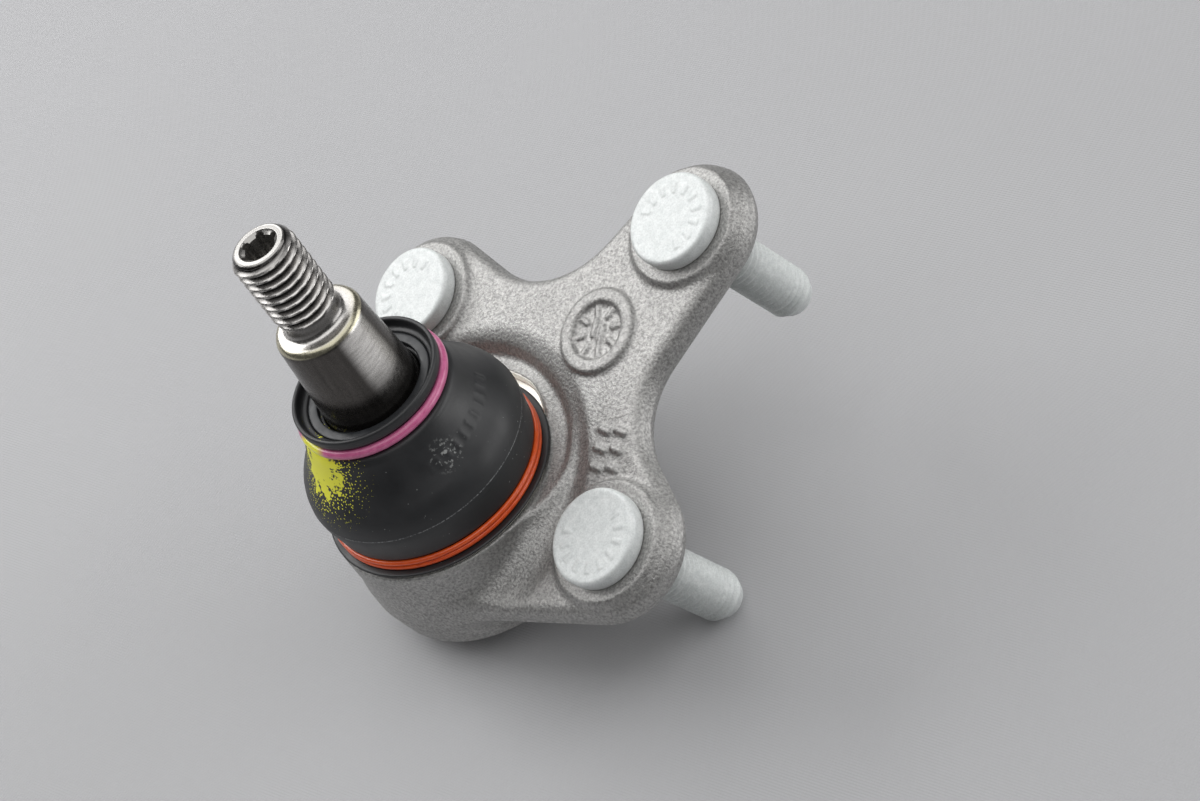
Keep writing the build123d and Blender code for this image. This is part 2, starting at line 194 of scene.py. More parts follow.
def waist(x, y, plan, arm_a, arm_b, radius):
    """The plan with a circle of that radius rolled into the corner of two arms, each given by its
    foot and its ear's name. It touches both arms' tangents and rules between where it does."""
    ways, inner = [], []
    for (foot, name), other in ((arm_a, arm_b[1]), (arm_b, arm_a[1])):
        ear, ear_radius = ears[name]
        way = unit(np.array(ear) - foot)
        side = np.array([-way[1], way[0]])
        side *= np.sign(side @ (np.array(ears[other][0]) - foot))
        lean = (foot_radius - ear_radius) / math.dist(ear, foot)
        normal = side * math.sqrt(1 - lean * lean) + way * lean
        ways.append(normal)
        inner.append(normal @ foot + foot_radius + radius)
    centre = np.linalg.solve(np.array(ways), np.array(inner))
    from_x, from_y = x - centre[0], y - centre[1]
    shares = np.linalg.solve(-np.array(ways).T, np.stack([from_x.ravel(), from_y.ravel()]))
    reach = np.hypot(from_x, from_y)
    between = (shares > 0).all(axis=0).reshape(x.shape) & (reach < math.dist(centre, hub))
    return np.where(between, radius - reach, plan)


def flange_plan(x, y, socket_x, socket_y):
    """Plan distance to the arms, of which the rear one widens toward a second foot, the two skirts
    and the two waists."""
    arms = [(hub, "rear"), (hub, "front"), (hub, "left"), (rear_foot, "rear")]
    plan = np.full(x.shape, 1e3)
    for foot, name in arms:
        ear, radius = ears[name]
        plan = np.minimum(plan, tapered_bar(x, y, foot, foot_radius, ear, radius))
    for name in ("front", "left"):
        ear, radius = ears[name]
        plan = np.minimum(plan, tapered_bar(x, y, ear, radius, (socket_x, socket_y), skirt_radius))
    plan = waist(x, y, plan, arms[3], arms[1], right_waist)
    return waist(x, y, plan, arms[0], arms[2], rear_waist)


def section_distance(radius, height, corners):
    """Distance to a closed outline: to its nearest side, negative where a ray crosses it an odd
    number of times."""
    nearest = np.full(radius.shape, 1e6)
    inside = np.zeros(radius.shape, bool)
    for (ar, ah), (br, bh) in zip(corners, corners[1:] + corners[:1]):
        side_r, side_h = br - ar, bh - ah
        share = ((radius - ar) * side_r + (height - ah) * side_h) / (side_r ** 2 + side_h ** 2)
        share = np.clip(share, 0, 1)
        gap = (radius - ar - side_r * share) ** 2 + (height - ah - side_h * share) ** 2
        nearest = np.minimum(nearest, gap)
        if side_h:
            crossed = (ah > height) != (bh > height)
            inside ^= crossed & (radius < ar + side_r * (height - ah) / side_h)
    return np.where(inside, -1, 1) * np.sqrt(nearest)


def raised_bar(x, y, z, start, end, half, rise):
    """A round-ended bar of that half width, which stands up from the flange by its rise."""
    side = tapered_bar(x, y, start, half, end, half)
    return trimmed(side, np.abs(z - flange_top) - rise, mark_edge)


def flange_marks(x, y, z):
    """Plain forged marks: ticks round the badge's inside with two short bars in the middle, and
    three rows of two bars that stand for the die's cavity number."""
    bars = []
    for tick in range(badge_ticks):
        angle = tick * 2 * math.pi / badge_ticks + badge_tick_turn
        way = np.array([math.cos(angle), math.sin(angle)])
        bars.append((*(badge_centre + way * reach for reach in badge_tick_span), *badge_tick_size))
    for shift in (-badge_bar_shift, badge_bar_shift):
        start = np.array(badge_centre) + (shift, badge_bar_foot - shift / 2)
        bars.append((start, start + (0, badge_bar_length), *badge_bar_size))
    for row, column in np.ndindex(3, 2):
        start = np.array(cavity_start) + np.array(cavity_pitch) * (column, row)
        bars.append((start, start + cavity_stroke, *cavity_bar_size))
    marks = np.full(x.shape, np.inf)
    for bar in bars:
        marks = np.minimum(marks, raised_bar(x, y, z, *bar))
    return marks


def recess_rim(turn):
    """Radius and height of the turned recess's rim at an angle from the lean: a wall on the side
    where the flange rises, that runs down and in under the boot's lip on both sides of it."""
    high = 1 - eased(turn, rim_high, rim_low)
    radius = covered_radius + (recess_radius - covered_radius) * high
    return radius, recess_floor + (shoulder_top - recess_floor) * high


def casting_distance(points):
    """Signed distance, in mm in the flange's axes, to the blended forging and its turned cuts."""
    x, y, z = points[..., 0], points[..., 1], points[..., 2]
    own = (points - socket_origin) @ socket_turn.T
    radius, height = np.hypot(own[..., 0], own[..., 1]), own[..., 2]
    turn = np.abs(np.arctan2(own[..., 1], own[..., 0]))

    plan = flange_plan(x, y, socket_origin[0], socket_origin[1])
    middle, half = (flange_top + flange_bottom) / 2, (flange_top - flange_bottom) / 2
    ridge = parting_ridge * np.exp(-((z - parting_height) / parting_width) ** 2)
    wall = plan + flange_draft * np.abs(z - parting_height) - ridge
    forging = trimmed(wall, np.abs(z - middle) - half, flange_edge)

    cup = section_distance(radius, height, cup_section)
    full = 1 - eased(turn, shoulder_full, shoulder_gone)
    lip_radius = shoulder_root + (shoulder_radius - shoulder_root) * full
    rim_radius, rim_top = recess_rim(turn)
    lip_top = rim_top - rim_drop * eased(turn, rim_low, rim_dropped)
    under = ((radius - underside_start[0]) * underside_normal[0]
             - (height - underside_start[1]) * underside_normal[1])
    lip = trimmed(radius - lip_radius, height - lip_top, shoulder_round)
    lip = np.maximum(trimmed(lip, under, underside_round), -height)
    cup = filled(cup, lip, cup_round) - ridge * cup_ridge_share

    centre = socket_origin + socket_turn[2] * (flange_top - socket_origin[2]) / socket_turn[2, 2]
    normal = np.array([
        math.sin(valley_lean) * math.cos(valley_heading),
        math.sin(valley_lean) * math.sin(valley_heading), math.cos(valley_lean)])
    lift = valley_section - valley_depth + valley_radius * math.sin(valley_lean)
    reach = points - (centre[0], centre[1], flange_top + lift)
    off_plane = reach @ normal
    in_plane = np.sqrt(np.maximum((reach ** 2).sum(axis=-1) - off_plane ** 2, 0))
    groove = np.hypot(in_plane - valley_radius, off_plane) - valley_section
    forging = trimmed(forging, -groove, valley_edge)
    forging = filled(forging, cup, cup_fillet)

    flared = radius - lip_radius - recess_flare * (height - lip_top)
    forging = trimmed(forging, -trimmed(flared, lip_top - height, step_foot), step_edge)
    for place, _ in ears.values():
        off = np.hypot(x - place[0], y - place[1])
        pad = trimmed(off - seat_radius + seat_draft * z, z, seat_edge)
        forging = filled(forging, np.maximum(pad, pad_bottom - z), seat_foot)
    off = np.hypot(x - badge_centre[0], y - badge_centre[1]) - badge_middle
    rim = trimmed(np.abs(off) - badge_width / 2, np.abs(z - flange_top) - badge_rise, badge_edge)
    forging = filled(forging, rim, badge_foot)
    forging = filled(forging, flange_marks(x, y, z), mark_foot)

    turned_cut = np.maximum(
        radius - rim_radius - seat_room_beside, recess_floor - seat_room_below - height)
    forging = np.maximum(forging, -turned_cut)
    half_neck = np.abs(height - neck_middle) - (neck_top - neck_middle)
    neck = trimmed(radius - neck_radius, half_neck, neck_edge)
    forging = np.minimum(forging, neck)
    forging = np.maximum(forging, -section_distance(radius, height, hollow_section))
    for place, _ in ears.values():
        forging = np.maximum(forging, bolt_hole - np.hypot(x - place[0], y - place[1]))
    return forging


def pulled_onto(distance, points, rounds):
    """Moves points along the distance's slope until it is zero: each step is distance / slope."""
    step, least_slope, longest_move = 0.02, 0.05, 0.3
    for _ in range(rounds):
        value = distance(points)
        slope = np.stack([
            distance(points + np.eye(3)[axis] * step) - distance(points - np.eye(3)[axis] * step)
            for axis in range(3)], axis=-1) / (2 * step)
        length = np.maximum((slope ** 2).sum(axis=-1, keepdims=True), least_slope)
        move = np.clip(value[..., None] * slope / length, -longest_move, longest_move)
        points = points - move
    return points


def skin_of(distance, low, high, cell):
    """Points and quads of the surface where distance is zero. Each grid cell that it crosses gives
    one point, the mean of where it cuts the cell's edges; each grid edge that it crosses gives one
    quad of the four cells round that edge. The points are then evened out and pulled onto it."""
    lines = [np.arange(low[axis], high[axis] + cell, cell) for axis in range(3)]
    field = np.concatenate([
        distance(np.stack(np.meshgrid(part, lines[1], lines[2], indexing="ij"), axis=-1))
        for part in np.array_split(lines[0], 12)])
    cells = np.array(field.shape) - 1
    corners = [(i, j, k) for i in (0, 1) for j in (0, 1) for k in (0, 1)]
    inside = (field < 0).astype(int)
    count = sum(inside[i:i + cells[0], j:j + cells[1], k:k + cells[2]] for i, j, k in corners)
    crossed = np.argwhere((count > 0) & (count < 8))
    number = np.full(cells, -1)
    number[tuple(crossed.T)] = np.arange(len(crossed))
    total, hits = np.zeros((len(crossed), 3)), np.zeros(len(crossed))
    for axis in range(3):
        for corner in [c for c in corners if c[axis] == 0]:
            start = crossed + corner
            end = start + np.eye(3, dtype=int)[axis]
            a, b = field[tuple(start.T)], field[tuple(end.T)]
            cut = (a < 0) != (b < 0)
            share = np.where(cut, a / np.where(cut, a - b, 1), 0)
            total += np.where(cut[:, None], start + share[:, None] * np.eye(3)[axis], 0)
            hits += cut
    points = np.array(low) + total / hits[:, None] * cell

    quads = []
    for axis in range(3):
        second, third = (axis + 1) % 3, (axis + 2) % 3
        ahead = [slice(None)] * 3
        ahead[axis] = slice(1, None)
        behind = [slice(None)] * 3
        behind[axis] = slice(None, -1)
        a, b = field[tuple(behind)] < 0, field[tuple(ahead)] < 0
        edges = np.argwhere(a != b)
        leaving = a[tuple(edges.T)]
        around = []
        for back_second, back_third in ((1, 1), (0, 1), (0, 0), (1, 0)):
            place = edges.copy()
            place[:, second] -= back_second
            place[:, third] -= back_third
            around.append(number[tuple(place.T)])
        quad = np.stack(around, axis=-1)
        quad[~leaving] = quad[~leaving, ::-1]
        quads.append(quad)
    quads = np.concatenate(quads)
    points = pulled_onto(distance, points, 2)
    for _ in range(2):
        total, hits = np.zeros_like(points), np.zeros(len(points))
        for side in range(4):
            here, there = quads[:, side], quads[:, (side + 1) % 4]
            np.add.at(total, here, points[there])
            np.add.at(total, there, points[here])
            np.add.at(hits, here, 1)
            np.add.at(hits, there, 1)
        points = pulled_onto(distance, points * 0.5 + total / hits[:, None] * 0.5, 2)
    return points, quads


def piece_from(name, points, faces, axes, material):
    """A mesh object from points in mm in the given axes, each kept as the attribute "place"."""
    origin, ways = axes
    mesh = bpy.data.meshes.new(name)
    mesh.from_pydata((origin + points @ ways * millimetre).tolist(), [], faces)
    mesh.polygons.foreach_set("use_smooth", np.ones(len(mesh.polygons), bool))
    place = mesh.attributes.new("place", "FLOAT_VECTOR", "POINT")
    place.data.foreach_set("vector", points.astype(np.float32).ravel())
    mesh.materials.append(material)
    piece = bpy.data.objects.new(name, mesh)
    bpy.context.scene.collection.objects.link(piece)
    return piece


def linear(code):
    """An sRGB hex colour as linear red, green, blue and alpha."""
    shares = np.array([int(code[place:place + 2], 16) for place in (1, 3, 5)]) / 255
    low = shares / 12.92
    high = ((shares + 0.055) / 1.055) ** 2.4
    return (*np.where(shares <= 0.04045, low, high), 1.0)


of_colours = {"data_type": "RGBA"}
own_place = {"attribute_name": "place"}
multiply = {"operation": "MULTIPLY"}


def feed(node, inputs):
    """Gives a node's inputs their values, or the outputs that feed them. A name has _ for a space,
    and in0, in1 and so on stand for a socket's number."""
    for name, value in inputs.items():
        numbered = name[:2] == "in" and name[2:].isdigit()
        socket = node.inputs[int(name[2:]) if numbered else name.replace("_", " ")]
        if isinstance(value, bpy.types.NodeSocket):
            node.id_data.links.new(value, socket)
        else:
            socket.default_value = value


def add_node(material, kind, settings, output=None, **inputs):
    """Adds one node with its settings and inputs. Gives the output of that name, or else the first
    one that those settings leave in use."""
    node = material.node_tree.nodes.new("ShaderNode" + kind)
    for name, value in settings.items():
        setattr(node, name, value)
    feed(node, inputs)
    return node.outputs[output] if output else next(o for o in node.outputs if o.enabled)


def new_material(name):
    """An empty material: its one shader still has Blender's values."""
    material = bpy.data.materials.new(name)
    material.use_nodes = True
    return material


def surfaced(material, **inputs):
    """The material, with its one shader set: an input is a value or the output that varies it."""
    feed(material.node_tree.nodes["Principled BSDF"], inputs)
    return material


def blasted_steel():
    """Shot-blasted forging: overlapping dents of about 0.4 mm, each lighter or darker in colour as
    grain and as painted glints, over a grey that drifts slowly from part to part."""
    material = new_material("shot_blasted_forged_steel")
    place = add_node(material, "Attribute", own_place, "Vector")
    dents = add_node(material, "TexNoise", {}, Vector=place, Scale=2.0, Detail=3.0, Roughness=0.65)
    drift = add_node(material, "TexNoise", {}, Vector=place, Scale=0.09, Detail=2.0)
    grey = add_node(
        material, "Mix", of_colours, Factor=drift, in6=linear("#A7A6A4"), in7=linear("#B9B8B6"))
    # Scales the grey dent by dent: grain in the blasted steel, and painted glints on the dents.
    grain_and_painted_glint = add_node(
        material, "MapRange", {}, Value=dents, From_Min=0.36, From_Max=0.66, To_Min=0.66,
        To_Max=1.26)
    colour = add_node(material, "VectorMath", {"operation": "SCALE"}, in0=grey, Scale=grain_and_painted_glint)
    bump = add_node(material, "Bump", {}, Strength=0.9, Distance=0.00018, Height=dents)
    return surfaced(material, Base_Color=colour, Metallic=0.78, Roughness=0.46, Normal=bump)


forged_steel = blasted_steel()
casting_points, casting_quads = skin_of(casting_distance, casting_low, casting_high, casting_cell)
housing_casting = piece_from(
    "housing_casting", casting_points, casting_quads.tolist(), flange_frame, forged_steel)
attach(housing_casting, "socket_housing")
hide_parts("housing")

# --- turned seat -----------------------------------------------------------------------------
# The ledge for the boot's lip and the low wall round it, faced and bored on a lathe after blasting.
# It is the forging's own metal, cut bright; its near-white colour beside the grey is partly that
# and partly a painted reflection.

seat_inner, seat_back = 18.2, 0.4
wall_edge_width, wall_edge_falls = 0.12, (0.2, 0.06, 0.12)
seat_corner_width, seat_corner_rise = 0.1, 0.08


def ring_faces(rows, columns, rows_meet):
    """Quads of a grid whose columns close round the axis, and whose rows close if rows_meet."""
    row, column = np.meshgrid(
        np.arange(rows if rows_meet else rows - 1), np.arange(columns), indexing="ij")
    below, beside = (row + 1) % rows, (column + 1) % columns
    corners = [row * columns + column, row * columns + beside,
               below * columns + beside, below * columns + column]
    return np.stack(corners, axis=-1).reshape(-1, 4)


def turned_shape(radius, height, rows_meet=False):
    """Points and faces of a surface about Z: at angle t, a row lies at (r cos t, r sin t, h), where
    r and h may differ from one angle to the next. An end row on the axis becomes one point."""
    rows, columns = np.broadcast_shapes(radius.shape, height.shape)
    angle = np.arange(columns) * 2 * math.pi / columns
    points = np.stack(np.broadcast_arrays(
        radius * np.cos(angle), radius * np.sin(angle), height), axis=-1).reshape(-1, 3)
    faces = ring_faces(rows, columns, rows_meet).tolist()
    if rows_meet:
        return points, faces
    first, last = columns - 1, (rows - 1) * columns
    shown = [[min(max(corner, first), last) - first for corner in face] for face in faces]
    return points[first:last + 1], [list(dict.fromkeys(face)) for face in shown]


def turned_with_painted_reflection():
    """Fine-turned steel: pale and satin, its near-white colour partly the cut metal and partly a
    painted reflection, with the tool's rings every 0.2 mm across the light.
    """
    material = new_material("fine_turned_steel_painted_reflection")
    place = add_node(material, "Attribute", own_place, "Vector")
    reach = add_node(material, "VectorMath", multiply, in0=place, in1=(1, 1, 0))
    radius = add_node(material, "VectorMath", {"operation": "LENGTH"}, in0=reach)
    phase = add_node(material, "Math", multiply, in0=radius, in1=2 * math.pi / 0.2)
    ring = add_node(material, "Math", {"operation": "SINE"}, in0=phase)
    bump = add_node(material, "Bump", {}, Strength=0.15, Distance=0.00002, Height=ring)
    # The near-white base colour is pale cut steel with a painted reflection in it.
    return surfaced(
        material, Base_Color=linear("#FAF8F0"), Metallic=0.8, Roughness=0.4, Normal=bump)


def turned_seat_shape():
    """A thin closed ring: up the wall's back, over its edge, down its face and in along the ledge.
    The wall follows the recess's rim, so it is there only on the side where the flange rises."""
    columns = 360
    turn = np.abs((np.arange(columns) * 2 * math.pi / columns + math.pi) % (2 * math.pi) - math.pi)
    wall, top = recess_rim(turn)
    back = wall + seat_back * (wall - covered_radius) / (recess_radius - covered_radius)
    floor = np.full(columns, recess_floor)
    low, inner = floor - seat_back, np.full(columns, seat_inner)
    edge, corner = wall + wall_edge_width, wall - seat_corner_width
    radius = np.stack([inner, back, back, edge, wall, wall, corner, inner])
    rises = (top - fall for fall in wall_edge_falls)
    height = np.stack([low, low, *rises, floor + seat_corner_rise, floor, floor])
    return turned_shape(radius, np.maximum(height, low), True)


turned_steel = turned_with_painted_reflection()
seat_points, seat_faces = turned_seat_shape()
turned_seat = piece_from("turned_seat", seat_points, seat_faces, socket_frame, turned_steel)
turned_seat.data.set_sharp_from_angle(angle=math.radians(35))
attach(turned_seat, "socket_housing")

# --- bearing shells --------------------------------------------------------------------------
# Two halves of a moulded acetal bearing that the ball is snapped into. Natural white, slightly
# translucent, with the smooth gloss of a polished mould. They stay hidden until the part is cut.


def moulded_acetal():
    """Injection-moulded acetal: off-white, waxy, with a slow cloudiness of some 4 mm."""
    material = new_material("moulded_acetal")
    place = add_node(material, "TexCoord", {}, "Object")
    cloud = add_node(material, "TexNoise", {}, Vector=place, Scale=250.0, Detail=2.0)
    tone = add_node(
        material, "Mix", of_colours, Factor=cloud, in6=linear("#E2DFD4"), in7=linear("#F0EEE6"))
    return surfaced(
        material, Base_Color=tone, Roughness=0.32, Subsurface_Weight=0.1, Subsurface_Scale=0.002)


acetal = moulded_acetal()
for shell in ("upper_bearing_shell", "lower_bearing_shell"):
    frame["nodes"][shell].data.materials.clear()
    frame["nodes"][shell].data.materials.append(acetal)

# --- ball stud -------------------------------------------------------------------------------
# Heat-treated alloy-steel stud, forged with its ball, turned to a 1:8 taper and thread-rolled.
# The taper is dark and satin from the furnace, its chamfer is straw-tinted and the thread bright.

ball_radius, ball_rows, stem_radius, stem_start, stem_end = 13.5, 60, 7.2, 14.0, 18.0
taper_start, taper_end, taper_end_radius, taper_ratio = 24.0, 51.9, 8.4, 8.0
taper_base = taper_end_radius + (taper_end - taper_start) / (2 * taper_ratio)
undercut_radius, undercut_end = 5.2, 56.0
stem_profile = [
    (stem_radius, stem_start), (stem_radius, stem_end - 0.4), (stem_radius + 0.2, stem_end + 0.1),
    (taper_base - 0.25, taper_start - 0.4), (taper_base, taper_start)]
collar_profile = [
    (taper_end_radius, taper_end), (8.38, 52.6), (8.27, 53.2), (7.95, 53.75), (7.5, 54.1),
    (7.2, 54.2), (6.9, 54.22), (6.2, 54.32), (5.75, 54.5), (5.45, 54.8), (5.27, 55.2),
    (undercut_radius, 55.7)]
stud_thread_start, stud_thread_end, stud_end = 57.0, 72.55, 73.4
stud_thread_radius, stud_thread_depth, stud_pitch, stud_thread_step = 5.95, 1.05, 1.75, 0.11
thread_crest, thread_flank = 0.06, 0.78
nose_length, nose_slope = 0.75, 0.8
end_face = [(4.85, -0.14), (4.6, 0), (4.4, -0.07), (4.2, 0), (4.0, -0.05), (3.8, 0)]
drive_reach, drive_lobe, drive_core, drive_turn = 3.5, 0.75, 2.7, 0.25
drive_mouth, drive_depth = 3.65, 8.0
mouth_chamfer = [(0.0, -0.02), (0.08, -0.12), (0.45, -0.35), (0.85, -0.6)]
drive_wall = [(1, -1.1), (1, -4), (1, 0.2 - drive_depth), (0.97, -drive_depth),
              (0.5, -drive_depth - 0.5), (0, -drive_depth - 0.9)]
stud_columns = 264
# Side of the taper that carries the painted highlight streak.
painted_highlight_turn = math.radians(-82)


def thread_radius(height, angle, radius, depth, pitch, start, end):
    """Radius of a right-hand thread: a ridge with a narrow crest, softly rolled flanks and a wider
    root, which repeats every pitch, climbs one pitch per turn and fades at its two ends."""
    phase = (height / pitch - angle / (2 * math.pi)) % 1.0
    hollow = np.clip((np.abs(2 * phase - 1) - thread_crest) / thread_flank, 0, 1)
    hollow = hollow * hollow * (3 - 2 * hollow) * 0.5 + hollow * 0.5
    cut = eased(height, start, start + pitch * 0.6) * (1 - eased(height, end - pitch * 0.5, end))
    return radius - depth * hollow * cut


def drive_outline(angle):
    """Radius of the six-lobe drive at an angle: the furthest of the core and the nearest lobe."""
    off = (angle + math.pi / 6) % (math.pi / 3) - math.pi / 6
    centre = drive_reach - drive_lobe
    inside = np.maximum(drive_lobe ** 2 - (centre * np.sin(off)) ** 2, 0)
    return np.maximum(drive_core, (centre * np.cos(off) + np.sqrt(inside)) * (inside > 0))


def stud_shape():
    """The whole stud as one turned surface, from the ball's pole up its outside, over the thread
    and the end face, down the drive's walls and across its floor."""
    angle = (np.arange(stud_columns) * 2 * math.pi / stud_columns)[None]
    sweep = np.linspace(math.pi, math.asin(stem_radius / ball_radius), ball_rows)
    ball = np.stack([ball_radius * np.sin(sweep), ball_radius * np.cos(sweep)], axis=-1)
    ball[0, 0] = 0.0
    heights = np.linspace(taper_start + 0.5, taper_end - 0.35, 24)
    radii = taper_end_radius + (taper_end - heights) / (2 * taper_ratio)
    taper = np.stack([radii, heights], axis=-1)
    plain = np.concatenate([ball, stem_profile, taper, collar_profile])

    run = np.arange(undercut_end, stud_thread_end + 0.6, stud_thread_step)[:, None]
    full = thread_radius(run, angle, stud_thread_radius, stud_thread_depth, stud_pitch,
                         stud_thread_start - 1.4, stud_end + 2)
    begun = eased(run, stud_thread_start - 0.1, stud_thread_start + 1.3)
    ridge = undercut_radius + (full - undercut_radius) * begun
    beyond = np.maximum(run - stud_thread_end + nose_length, 0)
    threaded = np.minimum(ridge, stud_thread_radius + 0.05 - beyond * nose_slope)

    drive = drive_outline(angle + drive_turn)
    inward = [(reach + 0 * angle, rise) for reach, rise in end_face]
    inward += [(np.maximum(drive, drive_mouth - fall), rise) for fall, rise in mouth_chamfer]
    inward += [(drive * share, rise) for share, rise in drive_wall]
    radius = [plain[:, :1] + 0 * angle, threaded, *(reach for reach, _ in inward)]
    height = [plain[:, 1:] + 0 * angle, run + 0 * angle,
              *(stud_end + rise + 0 * angle for _, rise in inward)]
    return turned_shape(np.concatenate(radius), np.concatenate(height))


def stud_steel():
    """One bar of steel with three finishes by height along the stud: a furnace-dark satin taper
    with a painted highlight streak down one side, crossed by scratches, a straw-tinted chamfer, and
    a bright thread with painted shade in its roots and undercut. The end face is bare metal too."""
    material = new_material("heat_treated_stud_steel")
    place = add_node(material, "Attribute", own_place, "Vector")
    level = add_node(material, "SeparateXYZ", {}, "Z", Vector=place)
    stretch = add_node(material, "VectorMath", multiply, in0=place, in1=(1, 1, 0.12))
    streak = add_node(
        material, "TexNoise", {}, Vector=stretch, Scale=0.9, Detail=5.0, Roughness=0.6)
    grain = add_node(material, "TexNoise", {}, Vector=place, Scale=1.6, Detail=4.0)
    reach = add_node(material, "VectorMath", multiply, in0=place, in1=(1, 1, 0))
    radius = add_node(material, "VectorMath", {"operation": "LENGTH"}, in0=reach)
    dark = add_node(
        material, "Mix", of_colours, Factor=streak, in6=linear("#3C3A38"), in7=linear("#6A6663"))
    # Painted shade: the thread's roots and the undercut darken from radius 5.75 in to 5.0.
    root = add_node(material, "MapRange", {}, Value=radius, From_Min=5.0, From_Max=5.75)
    bright = add_node(
        material, "Mix", of_colours, Factor=root, in6=linear("#2E2C2B"), in7=linear("#D2CFCC"))
    straw = add_node(material, "MapRange", {}, Value=level, From_Min=53.1, From_Max=53.3)
    gone = add_node(material, "MapRange", {}, Value=level, From_Min=54.0, From_Max=54.3)
    # Painted highlight: a bright streak down one side of the taper, between heights 37.5 and 45,
    # broken by scratches.
    toward = add_node(
        material, "VectorMath", {"operation": "DOT_PRODUCT"}, in0=place,
        in1=(math.cos(painted_highlight_turn), math.sin(painted_highlight_turn), 0))
    cosine = add_node(material, "Math", {"operation": "DIVIDE"}, in0=toward, in1=radius)
    facing_painted_highlight = add_node(
        material, "MapRange", {"interpolation_type": "SMOOTHSTEP"}, Value=cosine, From_Min=0.87,
        From_Max=0.99)
    high = add_node(material, "MapRange", {}, Value=level, From_Min=37.5, From_Max=45.0)
    flattened = add_node(material, "VectorMath", multiply, in0=place, in1=(0.25, 0.25, 2.2))
    across = add_node(material, "TexNoise", {}, Vector=flattened, Scale=1.0, Detail=4.0)
    scratched = add_node(
        material, "MapRange", {}, Value=across, From_Min=0.38, From_Max=0.55, To_Min=0.75,
        To_Max=1.0)
    painted_highlight = add_node(material, "Math", multiply, in0=facing_painted_highlight, in1=high)
    painted_highlight_scratched = add_node(material, "Math", multiply, in0=painted_highlight, in1=scratched)
    taper = add_node(material, "Mix", of_colours, Factor=painted_highlight_scratched, in6=dark, in7=linear("#EEEBE7"))
    lower = add_node(material, "Mix", of_colours, Factor=straw, in6=taper, in7=linear("#BDB8A2"))
    upper = add_node(material, "Mix", of_colours, Factor=gone, in6=lower, in7=bright)
    faced = add_node(material, "MapRange", {}, Value=radius, From_Min=4.95, From_Max=4.75)
    colour = add_node(material, "Mix", of_colours, Factor=faced, in6=upper, in7=linear("#A6A4A1"))
    rough = add_node(
        material, "MapRange", {}, Value=grain, From_Min=0.3, From_Max=0.7, To_Min=0.2, To_Max=0.34)
    bump = add_node(material, "Bump", {}, Strength=0.04, Distance=0.00003, Height=streak)
    return surfaced(material, Base_Color=colour, Metallic=0.9, Roughness=rough, Normal=bump)


stud_points, stud_faces = stud_shape()
stud_piece = piece_from("stud_turning", stud_points, stud_faces, socket_frame, stud_steel())
stud_piece.data.set_sharp_from_angle(angle=math.radians(40))
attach(stud_piece, "stud")
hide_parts("ball_stud")

# --- closing cover ---------------------------------------------------------------------------
# Pressed steel disc that closes the cup from below; the rim of the cup is rolled over its edge.
# Bare cold-rolled sheet, a little darker and smoother than the blasted forging.


def pressed_sheet():
    """Cold-rolled sheet: even grey with faint lines of the rolling, 0.3 mm apart."""
    material = new_material("pressed_cold_rolled_steel")
    place = add_node(material, "TexCoord", {}, "Object")
    drawn = add_node(material, "VectorMath", multiply, in0=place, in1=(3300, 300, 300))
    lines = add_node(material, "TexNoise", {}, Vector=drawn, Scale=1.0, Detail=3.0)
    tone = add_node(
        material, "Mix", of_colours, Factor=lines, in6=linear("#7F7D7B"), in7=linear("#A3A19E"))
    return surfaced(material, Base_Color=tone, Metallic=0.8, Roughness=0.42)


frame["nodes"]["closing_cover"].data.materials.clear()
frame["nodes"]["closing_cover"].data.materials.append(pressed_sheet())

# --- dust boot -------------------------------------------------------------------------------
# Moulded chloroprene rubber: a lip on the turned ledge, a bulging wall and a dished mouth round
# the stud. The mould's parting line runs round its widest place, and a test mark is sprayed on.

boot_columns, boot_step = 300, 0.3
boot_outer = [
    (18.45, 9.12), (22.05, 9.1), (22.42, 9.3), (22.4, 9.6), (22.1, 9.72), (20.3, 9.74),
    (20.15, 9.85), (20.15, 11.95), (20.3, 12.08), (20.6, 12.15), (20.78, 12.35), (20.88, 13.2),
    (21.12, 14.8), (21.42, 16.7), (21.6, 18.2), (21.45, 19.8), (20.95, 21.6), (20.05, 23.2),
    (18.9, 24.7), (17.6, 26.6), (16.55, 28.6), (15.75, 30.4), (15.25, 31.8), (14.75, 32.8),
    (13.6, 33.2), (12.95, 33.3), (12.9, 34.3), (12.95, 35.3), (13.6, 35.45), (14.15, 35.7),
    (14.25, 36.1), (14.25, 37.35), (14.12, 37.64), (13.8, 37.7), (13.45, 37.62), (13.3, 37.25),
    (13.2, 36.5), (13.0, 36.05), (12.6, 35.86), (12.05, 35.8), (12.02, 34.55)]
boot_inner = [
    (9.75, 34.5), (9.7, 34.0), (9.9, 31.0), (11.6, 30.6), (13.4, 29.6), (15.1, 26.9), (16.9, 24.2),
    (18.6, 22.2), (19.6, 19.8), (19.8, 18.2), (19.7, 16.4), (19.3, 14.6), (19.0, 13.6),
    (18.75, 13.3), (18.45, 12.6)]
wall_middle, wall_start, wall_end = [(12, 20.2), (18, 20.7), (24, 18.2), (32, 14.6)], 12.5, 32
parting_line, parting_line_width, parting_line_rise = 18.9, 0.13, 0.09
tick_height, tick_reach, tick_rise = 26.9, 2.0, 0.15
tick_first, tick_last, tick_pitch = 249, 322, 7.2
two_lobed_wave, five_lobed_wave, wave_start, wave_full = 0.05, 0.03, 13, 18
spray_middle, scuff_and_highlight_middle = (-16.2, 1.6, 30.6), (-2.6, -17.1, 26.9)


